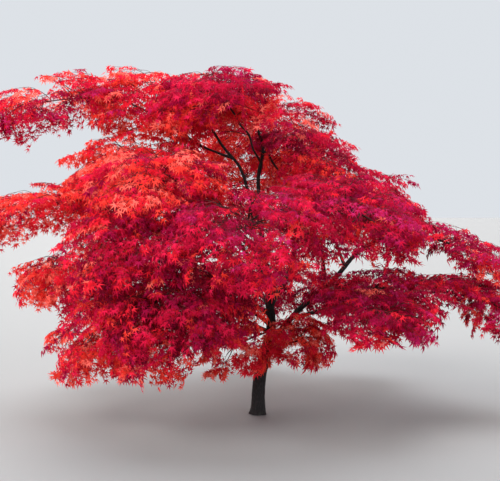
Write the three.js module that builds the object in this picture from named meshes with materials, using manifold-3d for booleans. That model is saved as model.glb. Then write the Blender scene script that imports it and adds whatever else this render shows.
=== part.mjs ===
// A garden maple in autumn leaf: one leaning trunk, arching boughs and layered masses of foliage.
// Units are millimetres, +Z is up, and the origin is the middle of the flat cut at ground level.

import * as THREE from 'three';
import { mergeVertices } from 'three/addons/utils/BufferGeometryUtils.js';
import Module from 'manifold-3d';

const wasm = await Module();
wasm.setup();

// Driving sizes
const clearance = 0.3; // gap kept between pieces that meet
const parentGrowth = 0.45; // how much thicker a limb is taken where it cuts the limb that grows from it
const cutPast = 2; // and how far it is taken past its own foot
const touchMargin = 1.5; // how much a leaf or twig is thickened when it is tested against its neighbours
const goldenTurn = 0.6180339887;

const trunk = {
  sides: 15,
  rings: 10,
  // height, lean to the right, lean to the back, radius
  stations: [
    [0, 0, 0, 54],
    [280, 14, 6, 50],
    [540, 74, 14, 46],
    [640, 104, 16, 40],
    [860, 98, 6, 34],
    [1220, 52, -6, 27],
    [1600, 8, 12, 19],
  ],
  flareSpread: 17,
  flareHeight: 110,
  flareRidges: 5,
  flareDepth: 0.3,
};

const limb = {
  sides: 6,
  ringSpacing: 300,
  leaveReach: 0.36, // handle lengths of its curve, as shares of the straight distance
  arriveReach: 0.32,
  wander: 0.02, // sideways wander, as a share of the straight distance
  taper: 0.8,
};

const stem = { sides: 4, rings: 3, tipRadius: 5, inset: 0.74, reach: 0.5, arch: 0.26, rootShare: 0.1 };

const twig = {
  sides: 3, rings: 2, count: 6, rootRadius: 4, tipRadius: 3, arrive: 0.45, arch: 0.06, rootShare: 0.4,
};

// Side shoots, one to a twig
const shoot = {
  sides: 3, rings: 1, count: 6, rootRadius: 2.6, tipRadius: 2.6, arrive: 0.4, arch: 0.02, rootShare: 0.6,
  place: 0.5, // where along its twig it grows
  turn: 58,
  length: 0.26, // as a share of the mass's half width
  leastWidth: 300, // half width of the smallest mass that carries them
};

const spread = {
  first: 0.7, // where the even spread of twigs starts
  lowest: -0.7, // how far down and up the side of a mass its twigs end, from -1 to 1
  highest: 0.94,
  across: 0.6, // how far out twigs end, as a share of the mass
  above: 0.95,
  jitter: 0.16,
};

const leaf = {
  share: 0.7, // length of a spray as a share of its mass's half width
  thickness: 8,
  sizeJitter: 0.12,
  upright: 0.42,
  droop: 0.35,
  tilt: 0.25,
  largestReach: 1.32, // how far out a leaf's points may lie, 1 being the surface of its mass
  // ways of placing a leaf, in order: extra turn in degrees and size
  tries: [[0, 1], [24, 1], [-24, 1], [0, 0.82], [40, 0.82], [-40, 0.82], [0, 0.64], [50, 0.6], [-50, 0.6]],
  // three lobes: along, across and down, as shares of the length
  rim: [
    [0.38, -0.54, -0.1],
    [0.62, -0.22, -0.02],
    [1, 0, -0.12],
    [0.62, 0.22, -0.02],
    [0.38, 0.54, -0.1],
  ],
  heart: 0.45,
};

// Foliage masses: name, bearing, distance from the trunk's foot, height, [half length, half width,
// half height], pitch, and how far under the mass its stem enters (0 from the side, 90 from below)
const massRows = [
  ['crown_top', 190, 380, 2490, [380, 460, 220], -2, 28],
  ['top_left', 176, 820, 2500, [480, 480, 240], -4, 40],
  ['far_top_left', 178, 1620, 2480, [580, 440, 180], -12, 20],
  ['top_right', 16, 400, 2020, [420, 460, 240], -26, 60],
  ['top_front', -117, 640, 2430, [400, 470, 170], -10, 50],
  ['top_back', 85, 800, 2300, [500, 600, 260], -14, 40],
  ['right_shoulder', 2, 900, 1680, [440, 500, 160], -34, 40],
  ['right_outer', -2, 1660, 1290, [500, 500, 120], -30, 30],
  ['left_shoulder', 178, 1000, 1980, [520, 460, 250], -10, 30],
  ['mid_left', 184, 1700, 1640, [520, 440, 170], -18, 20],
  ['left_low', 178, 1440, 1180, [500, 480, 200], -20, 20],
  ['right_low', -3, 1440, 1040, [440, 440, 90], -10, 20],
  ['right_tip', -6, 1900, 840, [340, 440, 180], -30, 10],
  ['right_inner', -28, 1000, 940, [440, 460, 200], -14, 20],
  ['front_upper', -128, 1160, 1800, [460, 460, 260], -22, 30],
  ['front_right', -54, 1100, 1600, [460, 480, 220], -20, 35],
  ['front_centre', -94, 1300, 1500, [460, 600, 260], -22, 25],
  ['front_left', -131, 1300, 1400, [460, 520, 260], -26, 20],
  ['front_low_right', -48, 1240, 900, [360, 420, 150], -12, 10],
  ['front_low_left', -122, 1240, 1000, [440, 540, 250], -24, 10],
  ['front_under', -114, 890, 980, [400, 390, 220], -16, 0],
  ['bottom_left', 198, 1240, 710, [360, 500, 240], -38, 0],
  ['bottom_front_left', -136, 960, 740, [380, 500, 200], -24, 0],
  ['under_left', -125, 310, 570, [240, 250, 180], -30, 0],
  ['under_right', -30, 345, 620, [250, 270, 220], -28, 0],
  ['back_left', 142, 1400, 1880, [540, 560, 250], -20, 30],
  ['back_centre', 98, 1280, 1840, [540, 600, 280], -24, 30],
  ['back_right', 50, 1320, 1740, [540, 560, 270], -24, 30],
  ['back_low_left', 146, 1560, 1000, [500, 540, 240], -24, 10],
  ['back_low', 91, 1560, 930, [480, 580, 260], -24, 10],
  ['back_low_right', 50, 1500, 820, [460, 520, 200], -24, 10],
];

// Limbs: name, what it grows from, how far along that, the mass it carries, the slope it leaves at,
// and its radius at root and tip
const limbRows = [
  ['leader', 'trunk', 1, 'crown_top', 86, 18, 9],
  ['right_bough', 'trunk', 0.34, 'right_outer', 47, 26, 11],
  ['left_leader', 'trunk', 0.95, 'top_left', 70, 14, 9],
  ['far_left_branch', 'left_leader', 0.5, 'far_top_left', 16, 10, 7],
  ['top_right_branch', 'leader', 0.5, 'top_right', 24, 10, 7],
  ['top_front_branch', 'leader', 0.42, 'top_front', 38, 9, 7],
  ['top_back_branch', 'leader', 0.22, 'top_back', 40, 11, 8],
  ['right_shoulder_branch', 'right_bough', 0.5, 'right_shoulder', 55, 13, 8],
  ['left_shoulder_branch', 'trunk', 0.82, 'left_shoulder', 30, 13, 8],
  ['mid_left_bough', 'trunk', 0.66, 'mid_left', 34, 17, 9],
  ['left_bough', 'trunk', 0.5, 'left_low', 36, 18, 10],
  ['low_right_bough', 'right_bough', 0.17, 'right_low', 8, 16, 10],
  ['right_tip_branch', 'low_right_bough', 0.7, 'right_tip', 0, 11, 8],
  ['right_inner_branch', 'low_right_bough', 0.22, 'right_inner', -14, 11, 8],
  ['front_upper_bough', 'trunk', 0.74, 'front_upper', 36, 17, 10],
  ['front_right_branch', 'right_bough', 0.38, 'front_right', 42, 15, 10],
  ['front_bough', 'trunk', 0.58, 'front_centre', 34, 18, 10],
  ['front_left_bough', 'trunk', 0.62, 'front_left', 24, 16, 10],
  ['front_low_right_branch', 'low_right_bough', 0.44, 'front_low_right', 4, 12, 8],
  ['front_low_left_bough', 'trunk', 0.45, 'front_low_left', 28, 17, 10],
  ['bottom_left_bough', 'trunk', 0.4, 'bottom_left', 30, 17, 9],
  ['bottom_front_branch', 'front_low_left_bough', 0.42, 'bottom_front_left', -8, 11, 8],
  ['back_left_bough', 'trunk', 0.7, 'back_left', 36, 18, 10],
  ['back_bough', 'trunk', 0.62, 'back_centre', 40, 19, 10],
  ['back_right_bough', 'trunk', 0.54, 'back_right', 36, 19, 10],
  ['back_low_left_branch', 'left_bough', 0.24, 'back_low_left', 4, 14, 9],
  ['back_low_bough', 'trunk', 0.46, 'back_low', 24, 17, 10],
  ['back_low_right_branch', 'low_right_bough', 0.3, 'back_low_right', -2, 13, 9],
];

// Masses that hang on a short stem straight from the trunk: mass, how far up the trunk, radius
const trunkStemRows = [
  ['front_under', 0.52, 12],
  ['under_left', 0.42, 9],
  ['under_right', 0.29, 9],
];

// Tints of the foliage as seen in each part of the crown
const tints = {
  scarlet: 0xd8262c,
  crimson: 0xb3173a,
  wine: 0x7d0f2a,
  ember: 0xe24a33,
};
const massTints = {
  crown_top: 'crimson', top_left: 'scarlet', far_top_left: 'ember', top_right: 'crimson',
  top_front: 'crimson', top_back: 'ember', right_shoulder: 'crimson', right_outer: 'crimson',
  left_shoulder: 'ember', mid_left: 'ember', left_low: 'scarlet', right_low: 'wine',
  right_tip: 'crimson', right_inner: 'wine', front_upper: 'scarlet', front_right: 'crimson',
  front_centre: 'crimson', front_left: 'scarlet', front_low_right: 'wine',
  front_low_left: 'wine', front_under: 'wine',
  bottom_left: 'ember', bottom_front_left: 'wine', under_left: 'ember', under_right: 'scarlet',
  back_left: 'scarlet', back_centre: 'scarlet', back_right: 'crimson', back_low_left: 'wine',
  back_low: 'wine', back_low_right: 'wine',
};

// Seeded chance, the same on every run
function makeRandom(seed) {
  let state = (seed * 7919 + 101) % 2147483647;
  return () => {
    state = (state * 16807) % 2147483647;
    return state / 2147483647;
  };
}

const fraction = (x) => x - Math.floor(x);
const clamp = (x, low, high) => Math.min(high, Math.max(low, x));
const radians = THREE.MathUtils.degToRad;
const up = new THREE.Vector3(0, 0, 1);

function along(origin, ...steps) {
  const point = origin.clone();
  for (const [direction, distance] of steps) point.addScaledVector(direction, distance);
  return point;
}

// Solids

function solidFrom(geometry) {
  geometry.deleteAttribute('normal');
  geometry.deleteAttribute('uv');
  const merged = mergeVertices(geometry, 1e-4);
  return new wasm.Manifold(new wasm.Mesh({
    numProp: 3,
    vertProperties: new Float32Array(merged.attributes.position.array),
    triVerts: new Uint32Array(merged.index.array),
  }));
}

function meetsAnyOf(solid, others) {
  const box = solid.boundingBox();
  return others.some((other) => {
    for (let axis = 0; axis < 3; axis += 1) {
      if (box.min[axis] > other.box.max[axis] || box.max[axis] < other.box.min[axis]) return false;
    }
    return !solid.intersect(other.solid).isEmpty();
  });
}

// The largest closed surface of a solid, without loose scraps or sealed hollows
function largestBody(solid) {
  const { vertProperties, triVerts } = solid.getMesh();
  const leader = Array.from({ length: vertProperties.length / 3 }, (_, i) => i);
  const find = (i) => {
    while (leader[i] !== i) {
      leader[i] = leader[leader[i]];
      i = leader[i];
    }
    return i;
  };
  for (let t = 0; t < triVerts.length; t += 3) {
    leader[find(triVerts[t])] = find(triVerts[t + 1]);
    leader[find(triVerts[t + 1])] = find(triVerts[t + 2]);
  }
  const corner = (i) => new THREE.Vector3().fromArray(vertProperties, 3 * i);
  const volumes = new Map();
  for (let t = 0; t < triVerts.length; t += 3) {
    const [a, b, c] = [0, 1, 2].map((k) => corner(triVerts[t + k]));
    const body = find(triVerts[t]);
    volumes.set(body, (volumes.get(body) ?? 0) + a.dot(b.cross(c)) / 6);
  }
  const largest = [...volumes].sort((p, q) => q[1] - p[1])[0][0];
  const kept = [];
  for (let t = 0; t < triVerts.length; t += 3) {
    if (find(triVerts[t]) === largest) kept.push(triVerts[t], triVerts[t + 1], triVerts[t + 2]);
  }
  const geometry = new THREE.BufferGeometry();
  geometry.setAttribute('position', new THREE.BufferAttribute(new Float32Array(vertProperties), 3));
  geometry.setIndex(kept);
  return geometry;
}

// Curves

class PlainBezier {
  constructor(...points) {
    this.points = points;
  }

  at(t) {
    let level = this.points;
    while (level.length > 1) {
      level = level.slice(1).map((point, i) => level[i].clone().lerp(point, t));
    }
    return level[0];
  }
}

// A limb's own curve, with a slow seeded wander that dies out at both ends
class LimbCurve extends PlainBezier {
  constructor(points, amount, phase) {
    super(...points);
    this.amount = amount;
    this.phase = phase;
    const run = points[3].clone().sub(points[0]);
    this.sideways = run.clone().cross(up).normalize();
    this.upward = this.sideways.clone().cross(run).normalize();
  }

  at(t) {
    const swell = this.amount * Math.sin(Math.PI * t) ** 2;
    const turn = 2 * Math.PI * (1.4 * t + this.phase);
    return along(super.at(t), [this.sideways, swell * Math.sin(turn)],
      [this.upward, swell * Math.cos(1.3 * turn)]);
  }
}

class TrunkCurve {
  constructor(stations) {
    this.top = stations[stations.length - 1][0];
    this.spine = new THREE.CatmullRomCurve3(stations.map(([z, x, y]) => new THREE.Vector3(x, y, z)),
      false, 'catmullrom', 0.5);
    this.stations = stations;
  }

  // t runs up the trunk by height
  at(t) {
    return this.spine.getPoint(this.spineShare(t));
  }

  spineShare(t) {
    const height = t * this.top;
    const spans = this.stations.length - 1;
    let i = 0;
    while (i < spans - 1 && this.stations[i + 1][0] < height) i += 1;
    const [low, high] = [this.stations[i][0], this.stations[i + 1][0]];
    return (i + (height - low) / (high - low)) / spans;
  }

  radius(t) {
    const place = this.spineShare(t) * (this.stations.length - 1);
    const i = Math.min(Math.floor(place), this.stations.length - 2);
    return THREE.MathUtils.lerp(this.stations[i][3], this.stations[i + 1][3], place - i);
  }
}

// The middle of a rod at a place, on the straight stretch between its rings
function middleOf(curve, rings, t) {
  const i = Math.min(Math.floor(t * rings), rings - 1);
  return curve.at(i / rings).lerp(curve.at((i + 1) / rings), t * rings - i);
}

function direction(curve, t) {
  const step = 0.004;
  return curve.at(Math.min(1, t + step)).sub(curve.at(Math.max(0, t - step))).normalize();
}

// A closed cylinder bent along a curve; radiusAt gives its radius by place and by turn round it
function bentRod(curve, radiusAt, sides, rings, firstDirection, lastDirection, past = 0) {
  const rod = new THREE.CylinderGeometry(1, 1, 1, sides, rings);
  const frames = [];
  let side = null;
  for (let i = 0; i <= rings; i += 1) {
    const t = i / rings;
    let ahead = direction(curve, t);
    if (i === 0 && firstDirection) ahead = firstDirection.clone();
    if (i === rings && lastDirection) ahead = lastDirection.clone();
    side = side ?? (Math.abs(ahead.z) > 0.8 ? new THREE.Vector3(1, 0, 0) : up.clone());
    side.addScaledVector(ahead, -side.dot(ahead)).normalize();
    frames.push({ middle: curve.at(t), side: side.clone(), other: ahead.clone().cross(side) });
  }
  frames[0].middle.addScaledVector(firstDirection ?? direction(curve, 0), -past);
  const place = rod.attributes.position;
  for (let i = 0; i < place.count; i += 1) {
    const t = place.getY(i) + 0.5;
    const { middle, side: a, other: b } = frames[Math.round(t * rings)];
    const [x, z] = [place.getX(i), place.getZ(i)];
    const radius = radiusAt(t, Math.atan2(z, x));
    const point = along(middle, [a, -x * radius], [b, z * radius]);
    place.setXYZ(i, point.x, point.y, point.z);
  }
  return solidFrom(rod);
}

// Trunk and limbs

const trunkCurve = new TrunkCurve(trunk.stations);

function trunkRadius(t, turn) {
  const rise = (t * trunkCurve.top) / trunk.flareHeight;
  const ridge = 1 + trunk.flareDepth * Math.cos(trunk.flareRidges * turn);
  return trunkCurve.radius(t) + trunk.flareSpread * Math.exp(-2.2 * rise) * ridge;
}

// Rings crowd towards the foot, where the flare is
const footCurve = { at: (t) => trunkCurve.at(t ** 1.5) };

function buildTrunk(growth) {
  const foot = new THREE.Vector3(0, 0, 1);
  return bentRod(footCurve, (t, turn) => trunkRadius(t ** 1.5, turn) + growth, trunk.sides, trunk.rings,
    foot, direction(trunkCurve, 1));
}

function massFrame([name, bearing, reach, height, size, pitch, entry], index) {
  const [a, b] = [radians(bearing), radians(pitch)];
  const out = new THREE.Vector3(Math.cos(a) * Math.cos(b), Math.sin(a) * Math.cos(b), Math.sin(b));
  const side = new THREE.Vector3(-Math.sin(a), Math.cos(a), 0);
  const top = out.clone().cross(side);
  const centre = new THREE.Vector3(reach * Math.cos(a), reach * Math.sin(a), height);
  const under = radians(entry);
  const start = along(centre, [out, -Math.cos(under) * stem.inset * size[0]],
    [top, -Math.sin(under) * stem.inset * size[2]]);
  const bend = along(centre, [top, stem.arch * size[2]]);
  const end = along(centre, [out, stem.reach * size[0]], [top, 0.1 * size[2]]);
  return { name, index, centre, axes: [out, side, top], size, start, bend, end };
}

const masses = Object.fromEntries(massRows.map((row, i) => [row[0], massFrame(row, i)]));
const limbs = { trunk: { curve: trunkCurve, solid: buildTrunk(0), grown: buildTrunk(parentGrowth) } };

function growLimb([name, parent, place, massName, slope, rootRadius, tipRadius], index) {
  const mass = masses[massName];
  const from = limbs[parent];
  const last = mass.bend.clone().sub(mass.start).normalize();
  let first = from.curve.at(place);
  if (place === 1) first = along(first, [direction(from.curve, 1), clearance]);
  const run = mass.start.clone().sub(first);
  const distance = run.length();
  const level = run.clone().setZ(0).normalize();
  const leave = level.multiplyScalar(Math.cos(radians(slope))).setZ(Math.sin(radians(slope)));
  const curve = new LimbCurve([
    first,
    along(first, [leave, limb.leaveReach * distance]),
    along(mass.start, [last, -limb.arriveReach * distance]),
    mass.start.clone(),
  ], limb.wander * distance, fraction(index * goldenTurn));
  const rings = Math.max(3, Math.round(distance / limb.ringSpacing));
  const radius = (growth) => (t) => growth + THREE.MathUtils.lerp(rootRadius, tipRadius, t ** limb.taper);
  const heading = place === 1 ? direction(from.curve, 1) : undefined;
  const make = (growth, past) => bentRod(curve, radius(growth), limb.sides, rings, heading, last, past);
  let solid = make(0, 0);
  if (place < 1) solid = solid.subtract(from.grown);
  for (const sibling of Object.values(limbs)) {
    if (sibling.parent === parent && !solid.intersect(sibling.grown).isEmpty()) {
      solid = solid.subtract(sibling.grown);
    }
  }
  limbs[name] = { curve, solid, grown: make(parentGrowth, cutPast), parent };
  mass.limb = name;
  mass.rootRadius = tipRadius;
}

limbRows.forEach(growLimb);

for (const [massName, place, radius] of trunkStemRows) {
  const mass = masses[massName];
  mass.start = trunkCurve.at(place);
  mass.rootRadius = radius;
  mass.onTrunk = true;
}

// Foliage

// How far out a point lies in a mass: 1 is its surface
function outness(point, mass) {
  const offset = point.clone().sub(mass.centre);
  return Math.hypot(...mass.axes.map((axis, k) => offset.dot(axis) / mass.size[k]));
}

function surfaceNormal(point, mass) {
  const offset = point.clone().sub(mass.centre);
  const normal = new THREE.Vector3();
  mass.axes.forEach((axis, k) => normal.addScaledVector(axis, offset.dot(axis) / mass.size[k] ** 2));
  return normal.normalize();
}

// How the leaf at a place lies: the way it points, its upper side and its length
function leafPose(mass, place, turn, shrink, random) {
  const jitter = (amount) => amount * (2 * random() - 1);
  const normal = surfaceNormal(place, mass).multiplyScalar(1 - leaf.upright);
  normal.addScaledVector(up, leaf.upright);
  normal.add(new THREE.Vector3(jitter(leaf.tilt), jitter(leaf.tilt), jitter(leaf.tilt))).normalize();
  const ahead = place.clone().sub(mass.centre).setZ(0).normalize().addScaledVector(up, -leaf.droop);
  ahead.addScaledVector(normal, -ahead.dot(normal)).normalize().applyAxisAngle(normal, radians(turn));
  const halfWidth = 0.5 * (mass.size[0] + mass.size[1]);
  const length = leaf.share * halfWidth * (1 + jitter(leaf.sizeJitter)) * shrink;
  return { ahead, normal, across: normal.clone().cross(ahead), length };
}

// A twig that widens into one leaf of three lobes, as a single closed form
function leafyTwig(curve, pose, shape, growth = 0, from = 0) {
  const { ahead, normal, across, length } = pose;
  const { sides, rings, rootRadius, tipRadius } = shape;
  const startTurn = sides === 3 ? -Math.PI / 6 : 0;
  const points = [];
  let top = normal.clone();
  for (let i = rings; i >= 0; i -= 1) {
    const t = from + ((1 - from) * i) / rings;
    const heading = i === rings ? ahead : direction(curve, t);
    top.addScaledVector(heading, -top.dot(heading)).normalize();
    const side = heading.clone().cross(top);
    const radius = growth + THREE.MathUtils.lerp(rootRadius, tipRadius, t);
    for (let k = 0; k < sides; k += 1) {
      const turn = startTurn + (2 * Math.PI * k) / sides;
      points.push(along(curve.at(t), [side, radius * Math.cos(turn)], [top, radius * Math.sin(turn)]));
    }
    top = top.clone();
  }
  const faces = [];
  for (let i = 0; i < rings; i += 1) {
    for (let k = 0; k < sides; k += 1) {
      const [a, b] = [i * sides + k, i * sides + ((k + 1) % sides)];
      faces.push(a, b, b + sides, a, b + sides, a + sides);
    }
  }
  for (let k = 1; k < sides - 1; k += 1) {
    faces.push(rings * sides, rings * sides + k, rings * sides + k + 1);
  }
  // the leaf: rim round both lobes and the tip, with its heart raised on both sides
  const tip = curve.at(1);
  const spreadOut = 1 + growth / 60;
  const rimStart = points.length;
  for (const [x, y, z] of leaf.rim) {
    points.push(along(tip, [ahead, x * length * spreadOut], [across, y * length * spreadOut],
      [normal, z * length]));
  }
  const heart = along(tip, [ahead, leaf.heart * length]);
  const half = leaf.thickness / 2 + growth;
  const [above, below] = [points.length, points.length + 1];
  points.push(along(heart, [normal, half]), along(heart, [normal, -half]));
  const farSide = sides === 3 ? 2 : sides / 2;
  const overTop = Array.from({ length: farSide + 1 }, (_, k) => farSide - k);
  const underneath = Array.from({ length: sides - farSide + 1 }, (_, k) => (farSide + k) % sides);
  const rim = leaf.rim.map((_, k) => rimStart + k);
  const upperLoop = [...rim, ...overTop];
  const lowerLoop = [...rim, ...underneath];
  upperLoop.forEach((a, i) => faces.push(a, upperLoop[(i + 1) % upperLoop.length], above));
  lowerLoop.forEach((a, i) => faces.push(lowerLoop[(i + 1) % lowerLoop.length], a, below));
  const geometry = new THREE.BufferGeometry().setFromPoints(points);
  geometry.setIndex(faces);
  return { solid: solidFrom(geometry), leafPoints: points.slice(rimStart) };
}

// Where a twig ends, spread evenly over the upper and outer side of the mass
function twigTarget(mass, i, random) {
  const rise = fraction(spread.first + i * 0.7548776662);
  const turn = fraction(0.5 + i * 0.5698402910 + mass.index * goldenTurn);
  const jitter = () => spread.jitter * (random() - 0.5);
  const w = clamp(THREE.MathUtils.lerp(spread.lowest, spread.highest, rise) + jitter(), -0.9, 0.98);
  const angle = 2 * Math.PI * (turn + jitter());
  const s = Math.sqrt(1 - w * w);
  const [x, y] = [Math.cos(angle) * s, Math.sin(angle) * s];
  const point = along(mass.centre, [mass.axes[0], x * spread.across * mass.size[0]],
    [mass.axes[1], y * spread.across * mass.size[1]], [mass.axes[2], w * spread.above * mass.size[2]]);
  return { point, along: x };
}

const placed = Object.entries(limbs).map(([name, { solid }]) => (
  { name, solid, box: solid.boundingBox() }));

// A twig from root to target that arrives in its leaf's own direction. The leaf is turned and made
// smaller until it keeps to its space, and is skipped with its twig where it never does.
function addTwig(mass, root, target, shape, turn, seed) {
  const isStem = shape.isStem;
  const others = placed.filter(({ name }) => name !== mass.name && !(isStem && name === mass.limb));
  for (const [extraTurn, shrink] of leaf.tries) {
    const pose = leafPose(mass, target, turn + extraTurn, shrink, makeRandom(seed));
    const span = target.distanceTo(root);
    const bend = isStem ? mass.bend
      : along(target, [pose.ahead, -shape.arrive * span], [up, shape.arch * span]);
    const curve = new PlainBezier(root, bend, target);
    const { solid, leafPoints } = leafyTwig(curve, pose, shape);
    const outer = leafyTwig(curve, pose, shape, touchMargin, shape.rootShare).solid;
    const whole = isStem ? outer : leafyTwig(curve, pose, shape, touchMargin).solid;
    const leaves = leafPoints.some((point) => outness(point, mass) > leaf.largestReach);
    if (leaves || meetsAnyOf(whole, others)) continue;
    if (mass.body && !outer.intersect(mass.body.solid).isEmpty()) continue;
    if (mass.body) {
      mass.body.solid = mass.body.solid.add(solid);
    } else {
      mass.body = { name: mass.name, solid };
      placed.push(mass.body);
    }
    mass.body.box = mass.body.solid.boundingBox();
    return curve;
  }
  return null;
}

function growStem(mass) {
  if (!mass.onTrunk) {
    mass.start.addScaledVector(mass.bend.clone().sub(mass.start).normalize(), clearance);
  }
  const shape = { ...stem, rootRadius: mass.rootRadius, isStem: true };
  mass.spine = addTwig(mass, mass.start, mass.end, shape, 0, mass.index * 100 + 99);
}

function growTwigs(mass) {
  mass.twigs = [];
  for (let i = 0; i < twig.count; i += 1) {
    const seed = mass.index * 100 + i;
    const target = twigTarget(mass, i, makeRandom(seed + 50));
    const place = clamp(0.36 + 0.46 * target.along, 0.12, 0.9);
    const root = middleOf(mass.spine, stem.rings, place);
    mass.twigs.push(addTwig(mass, root, target.point, twig, 0, seed));
  }
}

function growShoots(mass) {
  if (mass.size[1] < shoot.leastWidth) return;
  mass.twigs.slice(0, shoot.count).forEach((curve, i) => {
    if (!curve) return;
    const turn = (i % 2 ? 1 : -1) * shoot.turn;
    const root = middleOf(curve, twig.rings, shoot.place);
    const heading = direction(curve, shoot.place).applyAxisAngle(up, radians(turn));
    const target = along(root, [heading, shoot.length * mass.size[1]]);
    addTwig(mass, root, target, shoot, turn * 0.5, mass.index * 100 + 20 + i);
  });
}

const allMasses = Object.values(masses);
allMasses.forEach(growStem);
allMasses.forEach(growTwigs);
allMasses.forEach(growShoots);

// A stem that starts inside the trunk is cut clear of it and of the limbs beside it
for (const mass of allMasses.filter(({ onTrunk }) => onTrunk)) {
  for (const { solid, grown } of Object.values(limbs)) {
    if (!mass.body.solid.intersect(solid).isEmpty()) mass.body.solid = mass.body.solid.subtract(grown);
  }
}

// The tree

const barkFinish = new THREE.MeshStandardMaterial({ color: 0x2b2422, roughness: 0.9, metalness: 0 });
const leafFinishes = Object.fromEntries(Object.entries(tints).map(([name, color]) => [
  name,
  new THREE.MeshStandardMaterial({ color, roughness: 0.6, metalness: 0, flatShading: true }),
]));

function piece(name, solid, material) {
  const geometry = largestBody(solid);
  geometry.computeVertexNormals();
  const mesh = new THREE.Mesh(geometry, material);
  mesh.name = name;
  return mesh;
}

const tree = new THREE.Group();
for (const [name, { solid }] of Object.entries(limbs)) tree.add(piece(name, solid, barkFinish));
for (const { name, body } of allMasses) {
  tree.add(piece(`foliage_${name}`, body.solid, leafFinishes[massTints[name]]));
}

export default tree;
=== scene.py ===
# A garden maple in autumn leaf, dressed over its solids.
# Bark, twigs and leaves grow by the solids' own rule, carried on to finer twigs. Metres, +Z up.

import math

import bpy
import numpy as np
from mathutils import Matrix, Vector, noise


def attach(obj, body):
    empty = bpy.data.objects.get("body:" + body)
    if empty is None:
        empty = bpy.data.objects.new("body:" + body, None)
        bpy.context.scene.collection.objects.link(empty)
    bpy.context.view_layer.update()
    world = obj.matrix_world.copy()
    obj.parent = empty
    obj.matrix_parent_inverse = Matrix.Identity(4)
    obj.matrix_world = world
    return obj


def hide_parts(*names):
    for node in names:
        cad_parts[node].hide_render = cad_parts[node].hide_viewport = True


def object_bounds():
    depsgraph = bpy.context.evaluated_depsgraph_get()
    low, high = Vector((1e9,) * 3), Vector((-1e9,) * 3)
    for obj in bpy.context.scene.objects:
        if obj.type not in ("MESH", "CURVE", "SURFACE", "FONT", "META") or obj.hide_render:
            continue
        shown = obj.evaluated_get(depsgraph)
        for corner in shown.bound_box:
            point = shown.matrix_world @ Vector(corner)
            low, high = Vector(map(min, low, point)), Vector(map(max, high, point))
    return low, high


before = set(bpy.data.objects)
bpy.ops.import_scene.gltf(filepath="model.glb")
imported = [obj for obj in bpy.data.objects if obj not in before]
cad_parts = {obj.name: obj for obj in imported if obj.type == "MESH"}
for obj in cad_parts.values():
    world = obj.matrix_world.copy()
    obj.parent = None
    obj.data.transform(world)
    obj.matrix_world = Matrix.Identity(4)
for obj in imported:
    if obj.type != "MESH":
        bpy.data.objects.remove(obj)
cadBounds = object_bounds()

goldenTurn = 0.6180339887
upward = np.array([0.0, 0.0, 1.0])

# Camera and light

cameraSetup = {
    "place": (-0.0635, -7.0, 1.62),
    "pitchDown": 1.92,  # degrees below level
    "lens": 63.5,
    "sensor": 36.0,
}

lightSetup = {
    # name, where it shines from, strength, softness in degrees, colour
    "suns": [
        ("key", (-3.6, -5.2, 5.2), 2.8, 30, (1.0, 0.97, 0.93)),
        ("side", (-5.5, -1.8, 1.2), 3.1, 38, (1.0, 0.98, 0.97)),
        ("fill", (5.3, -4.4, 1.8), 1.7, 34, (0.93, 0.96, 1.0)),
        ("overhead", (0.0, 0.6, 6.2), 3.4, 52, (0.95, 0.97, 1.0)),
        ("behind", (-1.0, 6.4, 3.2), 2.3, 36, (1.0, 0.96, 0.92)),
    ],
    "skyColour": (0.86, 0.9, 0.95),
    "skyStrength": 0.84,
    "floorColour": (0.192, 0.192, 0.192),
    "floorSize": 400.0,
    "floorRoughness": 0.9,
}


def aimAt(thing, target):
    run = Vector(target) - thing.location
    thing.rotation_euler = run.to_track_quat("-Z", "Y").to_euler()


def setCamera():
    camera = bpy.data.cameras.new("camera")
    camera.lens = cameraSetup["lens"]
    camera.sensor_width = cameraSetup["sensor"]
    camera.sensor_fit = "HORIZONTAL"
    holder = bpy.data.objects.new("camera", camera)
    holder.location = cameraSetup["place"]
    holder.rotation_euler = (math.radians(90 - cameraSetup["pitchDown"]), 0, 0)
    bpy.context.collection.objects.link(holder)
    bpy.context.scene.camera = holder


def setLights():
    for name, place, strength, softness, colour in lightSetup["suns"]:
        sun = bpy.data.lights.new(name, "SUN")
        sun.energy = strength
        sun.angle = math.radians(softness)
        sun.color = colour
        holder = bpy.data.objects.new(name, sun)
        holder.location = place
        bpy.context.collection.objects.link(holder)
        aimAt(holder, (0, 0, 0))
    world = bpy.data.worlds.new("paleSky")
    world.use_nodes = True
    sky = world.node_tree.nodes["Background"]
    sky.inputs["Color"].default_value = (*lightSetup["skyColour"], 1)
    sky.inputs["Strength"].default_value = lightSetup["skyStrength"]
    bpy.context.scene.world = world


def layFloor():
    half = lightSetup["floorSize"] / 2
    corners = [(-half, -half, 0), (half, -half, 0), (half, half, 0), (-half, half, 0)]
    mesh = bpy.data.meshes.new("floor")
    mesh.from_pydata(corners, [], [(0, 1, 2, 3)])
    floor = bpy.data.objects.new("floor", mesh)
    bpy.context.collection.objects.link(floor)
    paint = bpy.data.materials.new("paleFloor")
    paint.use_nodes = True
    finish = paint.node_tree.nodes["Principled BSDF"]
    finish.inputs["Base Color"].default_value = (*lightSetup["floorColour"], 1)
    finish.inputs["Roughness"].default_value = lightSetup["floorRoughness"]
    mesh.materials.append(paint)


setCamera()
setLights()
layFloor()
bpy.context.scene.view_settings.view_transform = "Standard"
print("camera, lights and floor are in place")


# Seeded chance, the same on every run, as the solids draw it
chance = {"spread": 7919, "offset": 101, "factor": 16807, "modulus": 2147483647}


def makeRandom(seed):
    state = (seed * chance["spread"] + chance["offset"]) % chance["modulus"]

    def draw():
        nonlocal state
        state = state * chance["factor"] % chance["modulus"]
        return state / chance["modulus"]

    return draw


def fraction(x):
    return x - math.floor(x)


def blend(a, b, t):
    return a + (b - a) * t


def unit(v):
    return v / np.maximum(np.linalg.norm(v, axis=-1, keepdims=True), 1e-12)


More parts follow.
